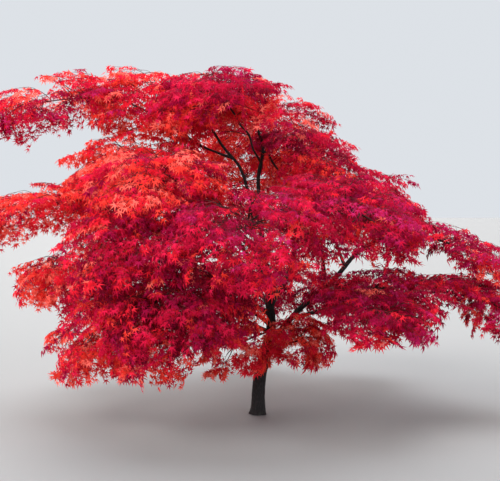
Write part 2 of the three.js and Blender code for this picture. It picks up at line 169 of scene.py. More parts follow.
def dot(a, b):
    return np.sum(a * b, axis=-1, keepdims=True)


def turned(v, axis, degrees):
    # v turned about a unit axis; both may be rows of vectors
    angle = np.radians(degrees)
    return (v * np.cos(angle) + np.cross(axis, v) * np.sin(angle)
            + axis * dot(axis, v) * (1 - np.cos(angle)))


def level(v):
    flat = np.array(v)
    flat[..., 2] = 0
    return unit(flat)


# Curves

def bezier(points):
    def at(t):
        t = np.asarray(t, float)[..., None]
        row = points
        while len(row) > 1:
            row = [a + (b - a) * t for a, b in zip(row, row[1:])]
        return row[0]

    return at


def wandering(points, amount, phase):
    # a limb's curve, with a slow wander that dies out at both ends
    plain = bezier(points)
    run = points[3] - points[0]
    sideways = unit(np.cross(run, upward))
    lifting = unit(np.cross(sideways, run))

    def at(t):
        t = np.asarray(t, float)
        swell = (amount * np.sin(math.pi * t) ** 2)[..., None]
        turn = (2 * math.pi * (limbShape["wanderTurns"] * t + phase))[..., None]
        rise = np.cos(limbShape["wanderRatio"] * turn)
        return plain(t) + sideways * swell * np.sin(turn) + lifting * swell * rise

    return at


def direction(curve, t):
    step = 0.004
    return unit(curve(min(1, t + step)) - curve(max(0, t - step)))


def curveLength(curve, samples=60):
    steps = np.diff(curve(np.linspace(0, 1, samples)), axis=0)
    return float(np.linalg.norm(steps, axis=1).sum())


# Meshes from arrays

def meshFromArrays(name, points, faceGroups, shadeSmooth=False):
    # each face group is an array with one face to a row
    corners = np.concatenate([faces.ravel() for faces in faceGroups]).astype(np.int32)
    sizes = np.concatenate([np.full(len(faces), faces.shape[1]) for faces in faceGroups])
    starts = np.concatenate([[0], np.cumsum(sizes)[:-1]]).astype(np.int32)
    mesh = bpy.data.meshes.new(name)
    mesh.vertices.add(len(points))
    mesh.vertices.foreach_set("co", np.asarray(points, np.float32).ravel())
    mesh.loops.add(len(corners))
    mesh.loops.foreach_set("vertex_index", corners)
    mesh.polygons.add(len(sizes))
    mesh.polygons.foreach_set("loop_start", starts)
    mesh.polygons.foreach_set("use_smooth", np.full(len(sizes), shadeSmooth))
    mesh.update(calc_edges=True)
    mesh.validate()
    return mesh


def addPiece(name, mesh, paint, nodes):
    piece = bpy.data.objects.new(name, mesh)
    bpy.context.collection.objects.link(piece)
    mesh.materials.append(paint)
    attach(piece, "root")
    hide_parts(*nodes)


def ringFrames(paths):
    # two sides at each ring of each path, carried along with no twist
    ahead = unit(np.gradient(paths, axis=1))
    nearUpright = 0.8
    steep = np.abs(ahead[:, :1, 2:3]) > nearUpright
    side = np.where(steep, np.array([1.0, 0, 0]), upward)
    sides = []
    side = side[:, 0]
    for r in range(paths.shape[1]):
        side = unit(side - ahead[:, r] * dot(side, ahead[:, r]))
        sides.append(side)
    sides = np.stack(sides, axis=1)
    return sides, np.cross(ahead, sides)


def tubes(paths, radii, sides):
    # closed tubes of equal ring count: points, side faces and end faces
    count, rings = paths.shape[:2]
    first, second = ringFrames(paths)
    turn = 2 * math.pi * np.arange(sides) / sides
    around = first[:, :, None] * np.cos(turn)[:, None] + second[:, :, None] * np.sin(turn)[:, None]
    if radii.ndim == 2:
        radii = radii[:, :, None]
    points = paths[:, :, None] + around * radii[..., None]
    index = np.arange(count * rings * sides).reshape(count, rings, sides)
    after = np.roll(index, -1, axis=2)
    skin = np.stack([index[:, :-1], after[:, :-1], after[:, 1:], index[:, 1:]], axis=-1).reshape(-1, 4)
    ends = np.concatenate([index[:, 0, ::-1], index[:, -1]])
    return points.reshape(-1, 3), skin, ends


# Materials

def linear(hexColour):
    # a display colour as the shader's own linear values
    parts = [int(hexColour[i:i + 2], 16) / 255 for i in (0, 2, 4)]
    return [p / 12.92 if p <= 0.04045 else ((p + 0.055) / 1.055) ** 2.4 for p in parts]


barkTones = {"deep": "0e0c0d", "mid": "1c191a", "pale": "383133", "lichen": "5d6052"}

barkLook = {
    "roughness": 0.86,
    "specular": 0.25,
    "grainScale": 34,  # fine cracks along the wood
    "grainStretch": (6, 1, 1),
    "grainDetail": 5,
    "grainRamp": [(0.3, "deep"), (0.52, "mid"), (0.72, "pale")],
    "blotchScale": 7,
    "blotchDetail": 3,
    "blotchRamp": [(0.42, "mid"), (0.62, "deep"), (0.8, "lichen")],
    "blotchShare": 0.35,
    "bumpDepth": 0.004,
    "bumpStrength": 0.8,
}

twigLook = {
    # a darker and a lighter colour, spread by blotches of noise
    "youngBark": ("1f0d0f", "421a1c"),
    "redShoots": ("3a0f14", "6e2028"),
    "roughness": 0.7,
    "specular": 0.12,
    "blotchScale": 26,
    "blotchDetail": 3,
    "rampPlaces": (0.35, 0.7),
}

leafLook = {
    "roughness": 0.6,
    "specular": 0.04,
    "glow": 0.34,  # share of the light that comes through the blade
    "veinScale": 260,
    "veinDetail": 2,
    "bumpDepth": 0.0012,
    "bumpStrength": 0.5,
}


def ramp(nodes, links, source, stops):
    node = nodes.new("ShaderNodeValToRGB")
    marks = node.color_ramp.elements
    while len(marks) < len(stops):
        marks.new(0.5)
    for mark, (place, hexColour) in zip(marks, stops):
        mark.position = place
        mark.color = (*linear(hexColour), 1)
    links.new(source, node.inputs["Fac"])
    return node.outputs["Color"]


def noiseNode(nodes, links, where, scale, detail):
    node = nodes.new("ShaderNodeTexNoise")
    node.inputs["Scale"].default_value = scale
    node.inputs["Detail"].default_value = detail
    links.new(where, node.inputs["Vector"])
    return node.outputs["Fac"]


def startPaint(name, look):
    paint = bpy.data.materials.new(name)
    paint.use_nodes = True
    nodes = paint.node_tree.nodes
    finish = nodes["Principled BSDF"]
    finish.inputs["Roughness"].default_value = look["roughness"]
    finish.inputs["Specular IOR Level"].default_value = look["specular"]
    return paint, nodes, paint.node_tree.links, finish


def addBump(nodes, links, height, finish, look):
    bump = nodes.new("ShaderNodeBump")
    bump.inputs["Distance"].default_value = look["bumpDepth"]
    bump.inputs["Strength"].default_value = look["bumpStrength"]
    links.new(height, bump.inputs["Height"])
    links.new(bump.outputs["Normal"], finish.inputs["Normal"])


def barkRamp(nodes, links, source, name):
    return ramp(nodes, links, source, [(place, barkTones[tone]) for place, tone in barkLook[name]])


def barkPaint():
    paint, nodes, links, finish = startPaint("darkBark", barkLook)
    lengthwise = nodes.new("ShaderNodeUVMap")
    lengthwise.uv_map = "grain"
    stretch = nodes.new("ShaderNodeMapping")
    stretch.inputs["Scale"].default_value = barkLook["grainStretch"]
    links.new(lengthwise.outputs["UV"], stretch.inputs["Vector"])
    along = stretch.outputs["Vector"]
    cracks = noiseNode(nodes, links, along, barkLook["grainScale"], barkLook["grainDetail"])
    where = nodes.new("ShaderNodeTexCoord").outputs["Object"]
    blotches = noiseNode(nodes, links, where, barkLook["blotchScale"], barkLook["blotchDetail"])
    blended = nodes.new("ShaderNodeMix")
    blended.data_type = "RGBA"
    blended.inputs[0].default_value = barkLook["blotchShare"]
    links.new(barkRamp(nodes, links, cracks, "grainRamp"), blended.inputs[6])
    links.new(barkRamp(nodes, links, blotches, "blotchRamp"), blended.inputs[7])
    links.new(blended.outputs[2], finish.inputs["Base Color"])
    addBump(nodes, links, cracks, finish, barkLook)
    return paint


def twigPaint(name):
    paint, nodes, links, finish = startPaint(name, twigLook)
    where = nodes.new("ShaderNodeTexCoord").outputs["Object"]
    blotches = noiseNode(nodes, links, where, twigLook["blotchScale"], twigLook["blotchDetail"])
    colour = ramp(nodes, links, blotches, list(zip(twigLook["rampPlaces"], twigLook[name])))
    links.new(colour, finish.inputs["Base Color"])
    return paint


def leafPaint(name, hexColour, glowColour):
    paint, nodes, links, finish = startPaint(name, leafLook)
    finish.inputs["Base Color"].default_value = (*linear(hexColour), 1)
    where = nodes.new("ShaderNodeTexCoord").outputs["Object"]
    veins = noiseNode(nodes, links, where, leafLook["veinScale"], leafLook["veinDetail"])
    addBump(nodes, links, veins, finish, leafLook)
    glow = nodes.new("ShaderNodeBsdfTranslucent")
    glow.inputs["Color"].default_value = (*linear(glowColour), 1)
    both = nodes.new("ShaderNodeMixShader")
    both.inputs["Fac"].default_value = leafLook["glow"]
    links.new(finish.outputs["BSDF"], both.inputs[1])
    links.new(glow.outputs["BSDF"], both.inputs[2])
    links.new(both.outputs["Shader"], nodes["Material Output"].inputs["Surface"])
    return paint


# Foliage masses: bearing, distance from the trunk's foot, height, half length, width and height,
# pitch, how far under the mass its stem enters, the mix of tints on its upper and lower side,
# each mix painting in the light and shade that side gets, and how many twigs it carries
massRows = {
    "crown_top": (190, 0.38, 2.49, (0.38, 0.46, 0.22), -2, 28, "purpleAndSkySheen", "glowing", 34),
    "top_left": (176, 0.82, 2.5, (0.48, 0.48, 0.24), -4, 40, "paintedSunlit", "glowing", 26),
    "far_top_left": (178, 1.62, 2.48, (0.58, 0.44, 0.18), -12, 20, "paintedSunlit", "purpleAndSkySheen", 22),
    "top_right": (16, 0.4, 2.02, (0.42, 0.46, 0.24), -26, 60, "purpleAndSkySheen", "glowing", 26),
    "top_front": (-117, 0.64, 2.43, (0.4, 0.47, 0.17), -10, 50, "purpleAndSkySheen", "glowing", 24),
    "top_back": (85, 0.8, 2.3, (0.5, 0.6, 0.26), -14, 40, "red", "glowing", 32),
    "right_shoulder": (2, 0.9, 1.68, (0.44, 0.5, 0.16), -34, 40, "purpleAndSkySheen", "red", 32),
    "right_outer": (-2, 1.66, 1.29, (0.5, 0.5, 0.12), -30, 30, "purpleAndSkySheen", "red", 20),
    "left_shoulder": (178, 1, 1.98, (0.52, 0.46, 0.25), -10, 30, "glowing", "glowing", 28),
    "mid_left": (184, 1.7, 1.64, (0.52, 0.44, 0.17), -18, 20, "glowing", "paintedSunlit", 22),
    "left_low": (178, 1.44, 1.18, (0.5, 0.48, 0.2), -20, 20, "paintedSunlit", "paintedSunlit", 24),
    "right_low": (-3, 1.44, 1.04, (0.44, 0.44, 0.09), -10, 20, "purpleAndSkySheen", "red", 19),
    "right_tip": (-6, 1.9, 0.84, (0.34, 0.44, 0.18), -30, 10, "purpleAndSkySheen", "red", 16),
    "right_inner": (-28, 1, 0.94, (0.44, 0.46, 0.2), -14, 20, "purpleAndSkySheen", "red", 21),
    "front_upper": (-128, 1.16, 1.8, (0.46, 0.46, 0.26), -22, 30, "paintedSunlit", "red", 28),
    "front_right": (-54, 1.1, 1.6, (0.46, 0.48, 0.22), -20, 35, "purpleAndSkySheen", "red", 28),
    "front_centre": (-94, 1.3, 1.5, (0.46, 0.6, 0.26), -22, 25, "purpleAndSkySheen", "red", 32),
    "front_left": (-131, 1.3, 1.4, (0.46, 0.52, 0.26), -26, 20, "red", "shaded", 30),
    "front_low_right": (-48, 1.24, 0.9, (0.36, 0.42, 0.15), -12, 10, "purpleAndSkySheen", "red", 13),
    "front_low_left": (-122, 1.24, 1, (0.44, 0.54, 0.25), -24, 10, "red", "shaded", 28),
    "front_under": (-114, 0.89, 0.98, (0.4, 0.39, 0.22), -16, 0, "shaded", "red", 20),
    "bottom_left": (198, 1.24, 0.71, (0.36, 0.5, 0.24), -38, 0, "paintedSunlit", "glowing", 24),
    "bottom_front_left": (-136, 0.96, 0.74, (0.38, 0.5, 0.2), -24, 0, "red", "paintedSunlit", 24),
    "under_left": (-125, 0.31, 0.57, (0.24, 0.25, 0.18), -30, 0, "glowing", "glowing", 9),
    "under_right": (-30, 0.345, 0.62, (0.25, 0.27, 0.22), -28, 0, "glowing", "glowing", 15),
    "back_left": (142, 1.4, 1.88, (0.54, 0.56, 0.25), -20, 30, "paintedSunlit", "glowing", 26),
    "back_centre": (98, 1.28, 1.84, (0.54, 0.6, 0.28), -24, 30, "glowing", "glowing", 32),
    "back_right": (50, 1.32, 1.74, (0.54, 0.56, 0.27), -24, 30, "purpleAndSkySheen", "glowing", 26),
    "back_low_left": (146, 1.56, 1, (0.5, 0.54, 0.24), -24, 10, "red", "shaded", 23),
    "back_low": (91, 1.56, 0.93, (0.48, 0.58, 0.26), -24, 10, "red", "shaded", 23),
    "back_low_right": (50, 1.5, 0.82, (0.46, 0.52, 0.2), -24, 10, "purpleAndSkySheen", "shaded", 18),
}

# Limbs: what each grows from, how far along that, the mass it carries, the slope it leaves at,
# and its radius at root and tip
limbRows = {
    "leader": ("trunk", 1, "crown_top", 86, 0.018, 0.009),
    "right_bough": ("trunk", 0.34, "right_outer", 47, 0.026, 0.011),
    "left_leader": ("trunk", 0.95, "top_left", 70, 0.014, 0.009),
    "far_left_branch": ("left_leader", 0.5, "far_top_left", 16, 0.01, 0.007),
    "top_right_branch": ("leader", 0.5, "top_right", 24, 0.01, 0.007),
    "top_front_branch": ("leader", 0.42, "top_front", 38, 0.009, 0.007),
    "top_back_branch": ("leader", 0.22, "top_back", 40, 0.011, 0.008),
    "right_shoulder_branch": ("right_bough", 0.5, "right_shoulder", 55, 0.013, 0.008),
    "left_shoulder_branch": ("trunk", 0.82, "left_shoulder", 30, 0.013, 0.008),
    "mid_left_bough": ("trunk", 0.66, "mid_left", 34, 0.017, 0.009),
    "left_bough": ("trunk", 0.5, "left_low", 36, 0.018, 0.01),
    "low_right_bough": ("right_bough", 0.17, "right_low", 8, 0.016, 0.01),
    "right_tip_branch": ("low_right_bough", 0.7, "right_tip", 0, 0.011, 0.008),
    "right_inner_branch": ("low_right_bough", 0.22, "right_inner", -14, 0.011, 0.008),
    "front_upper_bough": ("trunk", 0.74, "front_upper", 36, 0.017, 0.01),
    "front_right_branch": ("right_bough", 0.38, "front_right", 42, 0.015, 0.01),
    "front_bough": ("trunk", 0.58, "front_centre", 34, 0.018, 0.01),
    "front_left_bough": ("trunk", 0.62, "front_left", 24, 0.016, 0.01),
    "front_low_right_branch": ("low_right_bough", 0.44, "front_low_right", 4, 0.012, 0.008),
    "front_low_left_bough": ("trunk", 0.45, "front_low_left", 28, 0.017, 0.01),
    "bottom_left_bough": ("trunk", 0.4, "bottom_left", 30, 0.017, 0.009),
    "bottom_front_branch": ("front_low_left_bough", 0.42, "bottom_front_left", -8, 0.011, 0.008),
    "back_left_bough": ("trunk", 0.7, "back_left", 36, 0.018, 0.01),
    "back_bough": ("trunk", 0.62, "back_centre", 40, 0.019, 0.01),
    "back_right_bough": ("trunk", 0.54, "back_right", 36, 0.019, 0.01),
    "back_low_left_branch": ("left_bough", 0.24, "back_low_left", 4, 0.014, 0.009),
    "back_low_bough": ("trunk", 0.46, "back_low", 24, 0.017, 0.01),
    "back_low_right_branch": ("low_right_bough", 0.3, "back_low_right", -2, 0.013, 0.009),
}

# Masses that hang on a short stem straight from the trunk: how far up it, and the stem's radius
trunkStems = {
    "front_under": (0.52, 0.012),
    "under_left": (0.42, 0.009),
    "under_right": (0.29, 0.009),
}


# Trunk

trunkShape = {
    # height, lean to the right, lean to the back, radius
    "stations": [
        (0.0, 0.0, 0.0, 0.054),
        (0.28, 0.014, 0.006, 0.05),
        (0.54, 0.074, 0.014, 0.046),
        (0.64, 0.104, 0.016, 0.04),
        (0.86, 0.098, 0.006, 0.034),
        (1.22, 0.052, -0.006, 0.027),
        (1.6, 0.008, 0.012, 0.019),
    ],
    "flareSpread": 0.017,
    "flareHeight": 0.11,
    "flareFall": 2.2,
    "flareRidges": 5,
    "flareDepth": 0.3,
    "rings": 200,
    "ringCrowding": 1.25,  # rings lie closer together towards the flare
    "sides": 56,
    "ridgeDepth": 0.0035,
    "ridgeOffset": 3.0,
    "lumpDepth": 0.003,
    "lumpOffset": 8.0,
    # height, turn in degrees and size of the scars where old branches fell
    "scars": [
        (0.34, 250, 0.02),
        (0.47, 300, 0.015),
        (0.78, 215, 0.016),
        (1.02, 320, 0.014),
        (1.3, 20, 0.012),
    ],
    "scarHeight": 0.006,
    "scarStretch": 0.8,
    "scarHollow": 0.75,  # depth of the pit in its middle, as a share of its height
    "scarTightness": 2.4,
}

trunkTop = trunkShape["stations"][-1][0]
stationHeights = [row[0] for row in trunkShape["stations"]]
stationRadii = [row[3] for row in trunkShape["stations"]]
stationPoints = np.array([(x, y, z) for z, x, y, _ in trunkShape["stations"]])


def trunkCurve(t):
    # the smooth line through the stations; t runs up the trunk by height
    spans = len(stationHeights) - 1
    t = np.asarray(t, float)
    place = np.interp(t * trunkTop, stationHeights, np.arange(spans + 1))
    i = np.clip(np.floor(place).astype(int), 0, spans - 1)
    w = (place - i)[..., None]
    ends = np.concatenate([
        [2 * stationPoints[0] - stationPoints[1]],
        stationPoints,
        [2 * stationPoints[-1] - stationPoints[-2]],
    ])
    before, here, there, beyond = (ends[i + k] for k in range(4))
    leave = 0.5 * (there - before)
    arrive = 0.5 * (beyond - here)
    return (here + leave * w + (3 * (there - here) - 2 * leave - arrive) * w ** 2
            + (2 * (here - there) + leave + arrive) * w ** 3)


def trunkRadius(t, turn):
    height = t * trunkTop
    rise = height / trunkShape["flareHeight"]
    ridge = 1 - trunkShape["flareDepth"] * np.cos(trunkShape["flareRidges"] * turn)
    plain = np.interp(height, stationHeights, stationRadii)
    return plain + trunkShape["flareSpread"] * np.exp(-trunkShape["flareFall"] * rise) * ridge


# Limbs

limbShape = {
    "leaveReach": 0.36,  # handle lengths of its curve, as shares of the straight distance
    "arriveReach": 0.32,
    "wander": 0.02,
    "wanderTurns": 1.4,
    "wanderRatio": 1.3,  # its rise and fall against its swing
    "taper": 0.8,
    "ringSpacing": 0.018,
    "fewestRings": 12,
    "sides": 14,
    "ridgeDepth": 0.0016,
    "lumpDepth": 0.0018,
    "reliefStep": 11.0,
    "collar": 0.4,  # how much thicker a limb is where it leaves its parent
    "collarReach": 2.6,  # in root radii
    "startBack": 0.03,
}

stemShape = {
    "inset": 0.74,
    "reach": 0.5,
    "arch": 0.26,
    "rise": 0.1,
    # where its twigs grow: the lowest, the middle, how far either way, and the highest
    "firstTwig": 0.12,
    "middleTwig": 0.36,
    "twigSpread": 0.46,
    "lastTwig": 0.9,
    "tipRadius": 0.0028,
    "rings": 14,
    "sides": 7,
}


def massFrame(row, index):
    bearing, reach, height, size, pitch, entry, upperMix, lowerMix, twigCount = row
    a = math.radians(bearing)
    b = math.radians(pitch)
    under = math.radians(entry)
    out = np.array([math.cos(a) * math.cos(b), math.sin(a) * math.cos(b), math.sin(b)])
    side = np.array([-math.sin(a), math.cos(a), 0.0])
    top = np.cross(out, side)
    centre = np.array([reach * math.cos(a), reach * math.sin(a), height])
    inset = stemShape["inset"]
    backward = out * math.cos(under) * inset * size[0]
    downward = top * math.sin(under) * inset * size[2]
    return {
        "index": index,
        "centre": centre,
        "axes": np.array([out, side, top]),
        "size": np.array(size),
        "mixes": (upperMix, lowerMix),
        "twigCount": twigCount,
        "start": centre - backward - downward,
        "bend": centre + top * stemShape["arch"] * size[2],
        "end": centre + out * stemShape["reach"] * size[0] + top * stemShape["rise"] * size[2],
    }


masses = {name: massFrame(row, i) for i, (name, row) in enumerate(massRows.items())}
limbs = {"trunk": {"curve": trunkCurve}}


def growLimb(name, row, index):
    parent, place, massName, slope, rootRadius, tipRadius = row
    mass = masses[massName]
    parentCurve = limbs[parent]["curve"]
    last = unit(mass["bend"] - mass["start"])
    first = parentCurve(place)
    run = mass["start"] - first
    distance = float(np.linalg.norm(run))
    leave = level(run) * math.cos(math.radians(slope)) + upward * math.sin(math.radians(slope))
    curve = wandering([
        first,
        first + leave * limbShape["leaveReach"] * distance,
        mass["start"] - last * limbShape["arriveReach"] * distance,
        mass["start"],
    ], limbShape["wander"] * distance, fraction(index * goldenTurn))
    limbs[name] = {
        "curve": curve,
        "radii": (rootRadius, tipRadius),
        "fromTip": place == 1,
        "index": index,
        "mass": mass,
    }
    mass["rootRadius"] = tipRadius


for limbIndex, (limbName, limbRow) in enumerate(limbRows.items()):
    growLimb(limbName, limbRow, limbIndex)
for massName, (stemPlace, stemRadius) in trunkStems.items():
    masses[massName]["start"] = trunkCurve(stemPlace)
    masses[massName]["rootRadius"] = stemRadius


# Bark: one mesh with its relief for the trunk and for each limb

reliefShape = {
    # how finely each repeats around and along the wood
    "grain": (75, 14),
    "lumps": (16, 9),
    "grainNoise": (0.9, 2.1, 4),  # roughness, step between octaves and their number
}


def relief(kind, turn, radius, distance, offset):
    # grain is long furrows that run with the wood, lumps are broad swellings
    around, lengthwise = reliefShape[kind]
    x = np.cos(turn) * radius * around
    y = np.sin(turn) * radius * around
    z = distance * lengthwise + offset
    height = np.empty(turn.shape)
    for place in np.ndindex(turn.shape):
        spot = Vector((x[place], y[place], z[place]))
        grained = kind == "grain"
        height[place] = noise.fractal(spot, *reliefShape["grainNoise"]) if grained else noise.noise(spot)
    return height


def barkPiece(name, path, radii, paint):
    # a closed tube whose radius differs by ring and by turn, with a lengthwise map for its grain
    points, skin, ends = tubes(path[None], radii[None], radii.shape[1])
    mesh = meshFromArrays(name, points, [skin, ends], shadeSmooth=True)
    run = np.concatenate([[0], np.cumsum(np.linalg.norm(np.diff(path, axis=0), axis=1))])
    across = np.arange(radii.shape[1]) / radii.shape[1] * 2 * math.pi * radii.mean()
    grid = np.stack(np.meshgrid(across, run, indexing="xy"), axis=-1).reshape(-1, 2)
    corner = np.empty(len(mesh.loops), np.int32)
    mesh.loops.foreach_get("vertex_index", corner)
    mesh.uv_layers.new(name="grain").uv.foreach_set("vector", grid[corner].astype(np.float32).ravel())
    addPiece(f"bark_{name}", mesh, paint, [name])


def buildTrunkBark(paint):
    rings = trunkShape["rings"]
    t = np.linspace(0, 1, rings) ** trunkShape["ringCrowding"]
    turn = 2 * math.pi * np.arange(trunkShape["sides"]) / trunkShape["sides"]
    t2, turn2 = np.meshgrid(t, turn, indexing="ij")
    radius = trunkRadius(t2, turn2)
    height = t2 * trunkTop
    grain = relief("grain", turn2, radius, height, trunkShape["ridgeOffset"])
    radius = radius + trunkShape["ridgeDepth"] * grain
    lumps = relief("lumps", turn2, radius, height, trunkShape["lumpOffset"])
    radius = radius + trunkShape["lumpDepth"] * lumps
    for scarHeight, scarTurn, size in trunkShape["scars"]:
        gap = np.angle(np.exp(1j * (turn2 - math.radians(scarTurn)))) * radius
        away = np.hypot(gap, (height - scarHeight) * trunkShape["scarStretch"]) / size
        pit = trunkShape["scarHollow"] * np.exp(-(away * trunkShape["scarTightness"]) ** 2)
        radius = radius + trunkShape["scarHeight"] * (np.exp(-away ** 2) - pit)
    barkPiece("trunk", trunkCurve(t), radius, paint)


def limbRadius(row, t, distance):
    rootRadius, tipRadius = row["radii"]
    plain = blend(rootRadius, tipRadius, t ** limbShape["taper"])
    collar = 0 if row["fromTip"] else limbShape["collar"]
    return plain * (1 + collar * np.exp(-distance / (limbShape["collarReach"] * rootRadius)))


def buildLimbBark(name, row, paint):
    length = curveLength(row["curve"])
    rings = max(limbShape["fewestRings"], round(length / limbShape["ringSpacing"]))
    t = np.linspace(0, 1, rings)
    turn = 2 * math.pi * np.arange(limbShape["sides"]) / limbShape["sides"]
    t2, turn2 = np.meshgrid(t, turn, indexing="ij")
    distance = t2 * length
    radius = limbRadius(row, t2, distance)
    offset = limbShape["reliefStep"] * (row["index"] + 1)
    fade = radius / row["radii"][0]
    grain = relief("grain", turn2, radius, distance, offset)
    radius = radius + limbShape["ridgeDepth"] * fade * grain
    lumps = relief("lumps", turn2, radius, distance, offset)
    radius = radius + limbShape["lumpDepth"] * fade * lumps
    path = row["curve"](t)
    if row["fromTip"]:
        path[0] = path[0] - direction(row["curve"], 0) * limbShape["startBack"]
    barkPiece(name, path, radius, paint)


bark = barkPaint()
buildTrunkBark(bark)
for limbName, limb in limbs.items():
    if limbName != "trunk":
        buildLimbBark(limbName, limb, bark)
print(f"bark on the trunk and {len(limbRows)} limbs")


# Tints, and how often each mix has them

tints = {
    # name: colour of the blade and of the light through it
    # coral: a leaf colour that also stands for painted highlights on lit leaves
    "coral": ("f06e64", "ff8068"),
    "ember": ("e4423a", "ff503c"),
    "scarlet": ("d82238", "f62e3a"),
    "cherry": ("c81842", "ea2248"),
    "ruby": ("b0123a", "d41a3e"),
    "crimson": ("9a0f40", "c4184a"),
    # magenta: partly the leaves' own purple, partly a painted reflection of the sky
    "magenta": ("b01e5a", "d22a68"),
    # wine: the leaves' deep colour, partly painted shade
    "wine": ("6c0a24", "a01030"),
}

mixes = {
    # bright orange-red tints: painted glow of light through backlit leaves
    "glowing": {"coral": 0.16, "ember": 0.3, "scarlet": 0.32, "cherry": 0.14, "ruby": 0.08},
    # lighter, warmer tints: painted sunlight on the lit side of a mass
    "paintedSunlit": {"coral": 0.18, "ember": 0.22, "scarlet": 0.26, "cherry": 0.18, "ruby": 0.08, "crimson": 0.08},
    "red": {"coral": 0.03, "ember": 0.07, "scarlet": 0.2, "cherry": 0.24, "ruby": 0.24, "crimson": 0.16,
            "wine": 0.06},
    # crimson and purple tints; on upper sides the purple is a painted reflection of the sky
    "purpleAndSkySheen": {"coral": 0.01, "scarlet": 0.06, "cherry": 0.2, "ruby": 0.26, "crimson": 0.28, "magenta": 0.1,
                "wine": 0.09},
    # darker tints: painted shade
    "shaded": {"scarlet": 0.1, "cherry": 0.16, "ruby": 0.28, "crimson": 0.2, "wine": 0.26},
}

tintNames = list(tints)
mixNames = list(mixes)
mixRows = [[mixes[name].get(tint, 0) for tint in tintNames] for name in mixNames]
mixTable = np.array(mixRows).cumsum(axis=1)
keepTint = 0.45  # how often a side twig has its spray's own tint
leafSeed = 20
spotRandom = np.random.default_rng(leafSeed)


def pickTints(mix):
    draw = spotRandom.random(len(mix))[:, None]
    return np.minimum((draw > mixTable[mix]).sum(axis=1), len(tintNames) - 1)


# Twigs, by the solids' rule: the first six of each mass are theirs, and the row is carried on

twigShape = {
    "ownCount": 6,  # the solids' own
    "arrive": 0.45,
    "arch": 0.06,
    "nearest": 0.3,  # how far across its mass a carried-on twig ends, as a share of the mass
    "furthest": 0.84,
    "lowest": -0.5,
    "rootRadius": 0.0036,
    "tipRadius": 0.0019,
    "rings": 6,
    "sides": 4,
    "leafPlaces": (0.34, 0.5, 0.66, 0.82),
}

shootShape = {
    "places": (0.5, 0.76),  # where along its twig each grows; the solids' own twigs have the first
    "turn": 58,
    "length": 0.26,  # as a share of the mass's half width
    "arrive": 0.4,
    "arch": 0.02,
    "rootRadius": 0.0024,
    "tipRadius": 0.0017,
    "rings": 4,
    "sides": 3,
}

# Each mass draws from a row of seeds of its own
seedRows = {
    "step": 100,
    "stemEnd": 99,
    "target": 50,
    "firstShoot": 20,
    "shootStep": 40,
    "carriedOn": 100000,  # where twigs past the solids' own start
    "limbShoots": 5000,
}

# Short leafy shoots along the outer part of the limbs
limbShootShape = {
    "first": 0.42,
    "last": 0.95,
    "spacing": 0.15,
    "turn": 64,
    "turnJitter": 30,
    "lift": 0.22,
    "shortest": 0.16,
    "longest": 0.34,
    "arch": 0.12,
    "tilt": 0.7,
    "droop": 0.2,
    "sprayLength": 0.25,
    "smallest": 0.8,  # sizes of its spray, from this and over this range
    "sizeRange": 0.4,
    "bareLimbs": (
        "leader",
        "left_leader",
        "right_bough",
        "front_right_branch",
        "low_right_bough",
        "front_low_right_branch",
        "right_inner_branch",
    ),
}

# How the twigs' tips are spread through their mass
spreadShape = {
    "first": 0.7,
    "riseStep": 0.7548776662,  # steps that fill a square evenly
    "firstTurn": 0.5,
    "turnStep": 0.5698402910,
    "lowest": -0.7,
    "highest": 0.94,
    "limits": (-0.9, 0.98),
    "across": 0.6,
    "above": 0.95,
    "jitter": 0.16,
}

# How a spray of leaves lies in its mass
poseShape = {
    "sizeJitter": 0.12,
    "upright": 0.42,
    "droop": 0.35,
    "tilt": 0.25,
    "largestReach": 1.32,
    # extra turn in degrees and size, in the order that they are tried
    "tries": [
        (0, 1), (24, 1), (-24, 1),
        (0, 0.82), (40, 0.82), (-40, 0.82),
        (0, 0.64), (50, 0.6), (-50, 0.6),
    ],
    # the edge of a spray: ahead, across and up
    "rim": [
        (0.38, -0.54, -0.1),
        (0.62, -0.22, -0.02),
        (1, 0, -0.12),
        (0.62, 0.22, -0.02),
        (0.38, 0.54, -0.1),
    ],
}

# The wide spray that stands for each of the solids' leaves
wideSpray = {
    "share": 0.7,  # length as a share of its mass's half width
    "ribShare": 0.86,  # length of its middle twig
    "ribSag": 0.08,
    "ribSway": 0.09,
    "ribBend": (0.45, 0.05),  # ahead and up
    "ribRadii": (0.0018, 0.0009),
    "ribRings": 5,
    "tubeSides": 3,
    # side twigs, in pairs: place on the middle twig, turn, length as a share of the spray's
    "sidePairs": [(0.1, 64, 0.42), (0.3, 58, 0.5), (0.52, 50, 0.42), (0.74, 42, 0.28)],
    "sideRadii": (0.0012, 0.0007),
    "sideRings": 3,
    "sideSag": 0.12,
    "sideJitter": 17,
    "sideLengthJitter": 0.24,
    "sideStagger": 0.03,
    "sideLift": (0.03, 0.1),  # mean and spread
    "sideBend": (0.5, 0.06, 0.6),  # ahead, up, and up again for each part of its lift
    "sideLeafPlaces": (0.5, 0.84),
    "ribLeafPlaces": (0.63, 0.88),
    # leaf sizes along the side twigs, at their tips, along the rib and at its tip
    "leafSizes": (0.94, 1.06, 1.0, 1.12),
}

fineSpray = {
    **wideSpray,
    "share": 0.5,
    "largestPlace": 1.1,  # how far out in its mass one may start
    "ribRings": 4,
    "sidePairs": [(0.1, 66, 0.5), (0.4, 56, 0.52), (0.7, 44, 0.36)],
    "sideRings": 2,
    "sideJitter": 22,
    "sideLeafPlaces": (0.4, 0.74),
    "ribLeafPlaces": (0.5, 0.86),
}


def outness(points, mass):
    return np.linalg.norm((points - mass["centre"]) @ mass["axes"].T / mass["size"], axis=-1)


def surfaceNormal(point, mass):
    along = mass["axes"] @ (point - mass["centre"])
    return unit((along / mass["size"] ** 2) @ mass["axes"])


